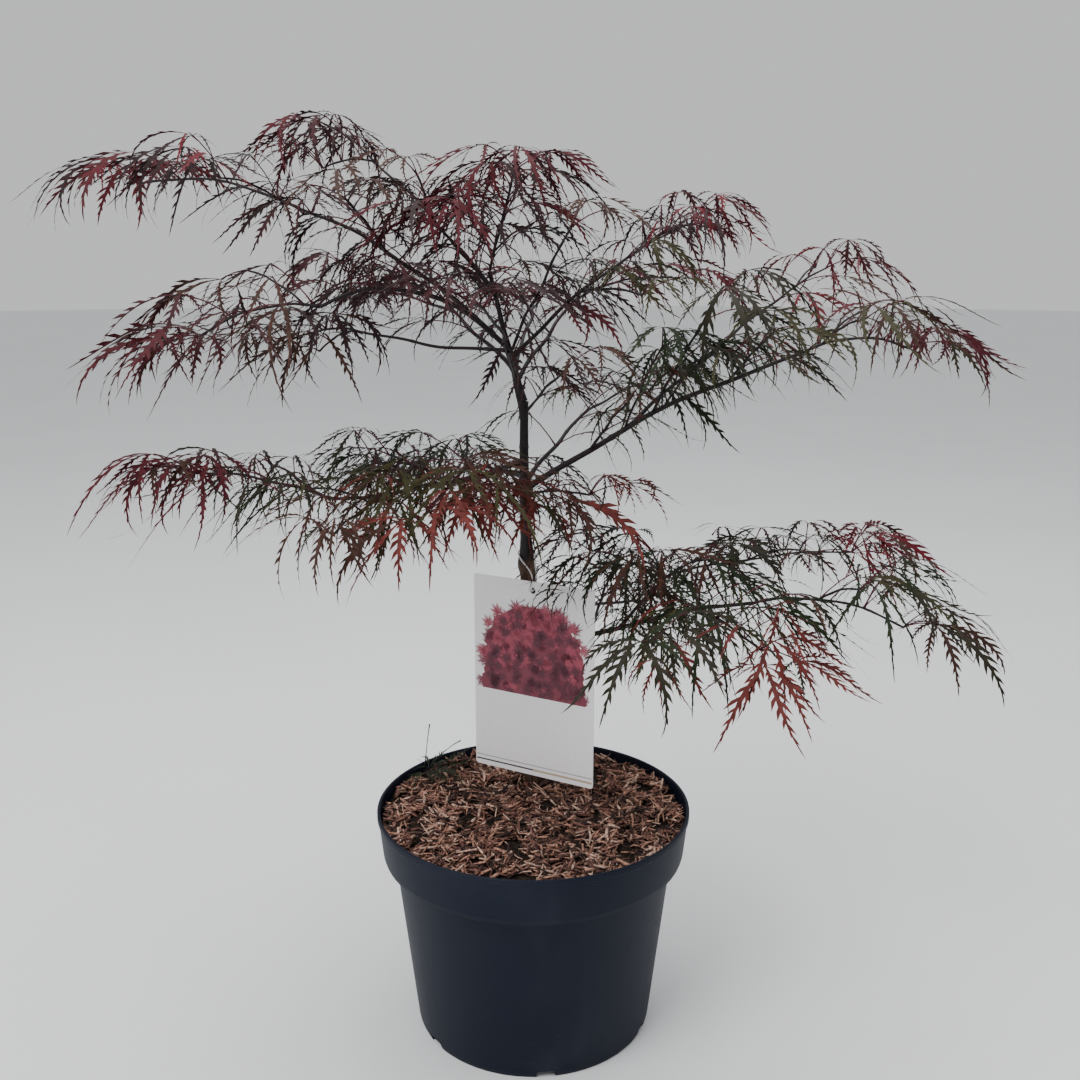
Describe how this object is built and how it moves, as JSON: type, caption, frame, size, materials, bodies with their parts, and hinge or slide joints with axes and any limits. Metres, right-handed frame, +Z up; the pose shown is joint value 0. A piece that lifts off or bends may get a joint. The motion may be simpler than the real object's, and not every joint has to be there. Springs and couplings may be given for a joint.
{
  "type": "potted japanese maple",
  "caption": "Small grafted laceleaf japanese maple in a round black nursery pot, with tiered dark red and green foliage, bark mulch and a hanging plant label.",
  "frame": {"origin": "centre of the pot's flat underside, on the surface that the pot stands on", "axes": "+Z up along the pot's axis, +X along the crown's widest side, +Y away from the side that the label hangs on"},
  "size_m": [0.7866, 0.6159, 0.7832],
  "materials": {
    "black_plastic": "moulded, blue-black, faintly dusty",
    "bark_mulch": "bark chips over damp compost",
    "bark": "dark purple-brown smooth bark, rougher and grey-brown below the graft",
    "crimson": "soft leaf, deep crimson",
    "maroon": "soft leaf, dark purple-maroon",
    "bronze": "soft leaf, red-brown bronze",
    "green": "soft leaf, dark green",
    "olive": "soft leaf, olive green with bronze",
    "ember": "soft leaf, orange-red",
    "white_card": "printed label, satin, with no lettering",
    "white_string": "thin white twine"
  },
  "bodies": {
    "root": {"pot": "black_plastic", "mulch_fill": "bark_mulch", "trunk": "bark", "left_leader": "bark", "right_leader": "bark", "mid_left_bough": "bark", "mid_left_lower_bough": "bark", "upper_left_bough": "bark", "top_left_bough": "bark", "right_upper_bough": "bark", "right_bough": "bark", "right_branch": "bark", "lower_left_bough": "bark", "lower_right_bough": "bark", "lower_right_riser": "bark", "back_left_bough": "bark", "back_centre_bough": "bark", "back_right_bough": "bark", "back_low_bough": "bark", "back_low_left_bough": "bark", "back_low_right_bough": "bark", "front_bough": "bark", "upper_left_tip": "crimson", "left_shoulder": "maroon", "top_left": "crimson", "top_left_inner": "maroon", "top_centre": "crimson", "upper_middle": "maroon", "centre": "maroon", "centre_right": "bronze", "left_inner": "maroon", "mid_left_tip": "crimson", "mid_left_lower": "bronze", "right_top": "crimson", "right_mid": "olive", "right_upper_tip": "crimson", "right_tip": "bronze", "right_inner": "green", "right_under": "bronze", "right_middle": "olive", "lower_left_tip": "bronze", "lower_left_top": "maroon", "lower_left_front": "ember", "lower_left_hanging": "olive", "centre_spray": "ember", "lower_right_upper": "olive", "lower_right_inner": "green", "lower_right_tip": "green", "lower_right_front": "ember", "lower_right_low": "green", "back_left_tip": "maroon", "back_centre_tip": "maroon", "back_right_tip": "maroon", "back_low_tip": "olive", "back_low_left_tip": "green", "back_low_right_tip": "green", "front_tip": "maroon", "label_card": "white_card", "label_string": "white_string"}
  },
  "joints": []
}
